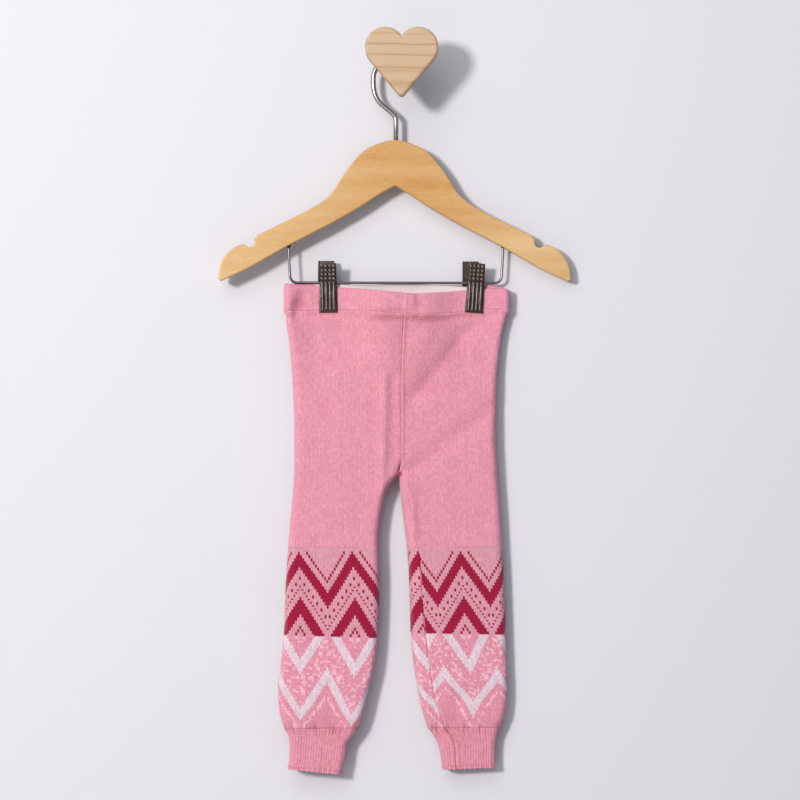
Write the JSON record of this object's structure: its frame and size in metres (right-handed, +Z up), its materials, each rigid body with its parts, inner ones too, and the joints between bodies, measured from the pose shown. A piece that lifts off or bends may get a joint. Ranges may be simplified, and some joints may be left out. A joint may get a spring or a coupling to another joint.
{
  "type": "baby knit leggings on a clip hanger and wall knob",
  "caption": "Pink knit baby leggings with zigzag bands and ribbed cuffs, clipped to a small wooden trouser hanger that hangs from a heart-shaped wooden wall knob.",
  "frame": {"origin": "on the wall, at the middle of the peg's back face, where the knob is fixed", "axes": "+X to the right of someone facing the wall, +Y into the wall, +Z up"},
  "size_m": [0.2976, 0.059, 0.6247],
  "materials": {
    "leg_knit": "soft plain knit with stranded zigzag bands",
    "waistband_knit": "soft knit folded over elastic",
    "cuff_rib": "soft one-by-one rib knit",
    "hanger_wood": "clear satin varnish",
    "hook_steel": "bright plated",
    "bar_steel": "bright plated",
    "clip_steel": "dark plated, pressed with dots and ribs",
    "knob_wood": "bare sanded pine",
    "peg_wood": "bare turned wood"
  },
  "bodies": {
    "root": {"leg_left": "leg_knit", "leg_right": "leg_knit", "waistband": "waistband_knit", "cuff_left": "cuff_rib", "cuff_right": "cuff_rib", "hanger_body": "hanger_wood", "hanger_hook": "hook_steel", "trouser_bar": "bar_steel", "clip_left_front": "clip_steel", "clip_left_back": "clip_steel", "clip_right_front": "clip_steel", "clip_right_back": "clip_steel", "knob_heart": "knob_wood", "knob_peg": "peg_wood"}
  },
  "joints": []
}
